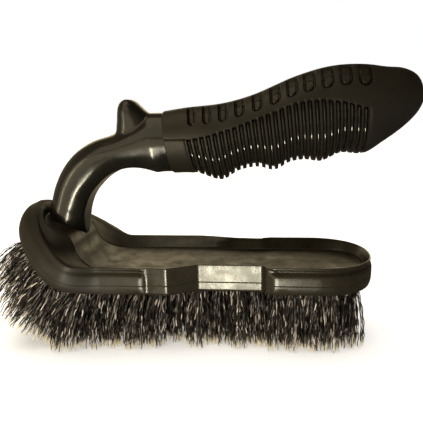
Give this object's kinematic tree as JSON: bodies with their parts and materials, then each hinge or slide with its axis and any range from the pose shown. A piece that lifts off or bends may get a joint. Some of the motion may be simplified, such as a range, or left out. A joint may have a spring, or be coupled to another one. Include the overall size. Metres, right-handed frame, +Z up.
{
  "type": "pool wall brush",
  "caption": "Hand-held scrub brush with an upturned nose, rubber bumper, overhanging ribbed soft grip and tufted bristle field.",
  "frame": {"origin": "centre of the trimmed end of the middle tuft of row 9, on the plane the flat part's bristle tips stand on", "axes": "+Z up, +X towards the heel and the grip's free end, -X towards the upturned nose, Y across"},
  "size_m": [0.1886, 0.0682, 0.1209],
  "materials": {
    "block": "satin moulded black plastic with an olive tint",
    "bumper": "soft satin black rubber",
    "core": "glossy black moulded plastic",
    "grip": "soft matte black rubber",
    "screws": "plain steel",
    "bristles": "dark grey crimped synthetic bristle"
  },
  "bodies": {
    "root": {"brush_block": "block", "bumper": "bumper", "handle_core": "core", "grip_sleeve": "grip", "foot_screw_1": "screws", "foot_screw_2": "screws", "tuft_row_01": "bristles", "tuft_row_02": "bristles", "tuft_row_03": "bristles", "tuft_row_04": "bristles", "tuft_row_05": "bristles", "tuft_row_06": "bristles", "tuft_row_07": "bristles", "tuft_row_08": "bristles", "tuft_row_09": "bristles", "tuft_row_10": "bristles", "tuft_row_11": "bristles", "tuft_row_12": "bristles", "tuft_row_13": "bristles", "tuft_row_14": "bristles", "tuft_row_15": "bristles", "tuft_row_16": "bristles", "tuft_row_17_1": "bristles", "tuft_row_17_2": "bristles", "tuft_row_18": "bristles", "tuft_row_19_1": "bristles", "tuft_row_19_2": "bristles"}
  },
  "joints": []
}
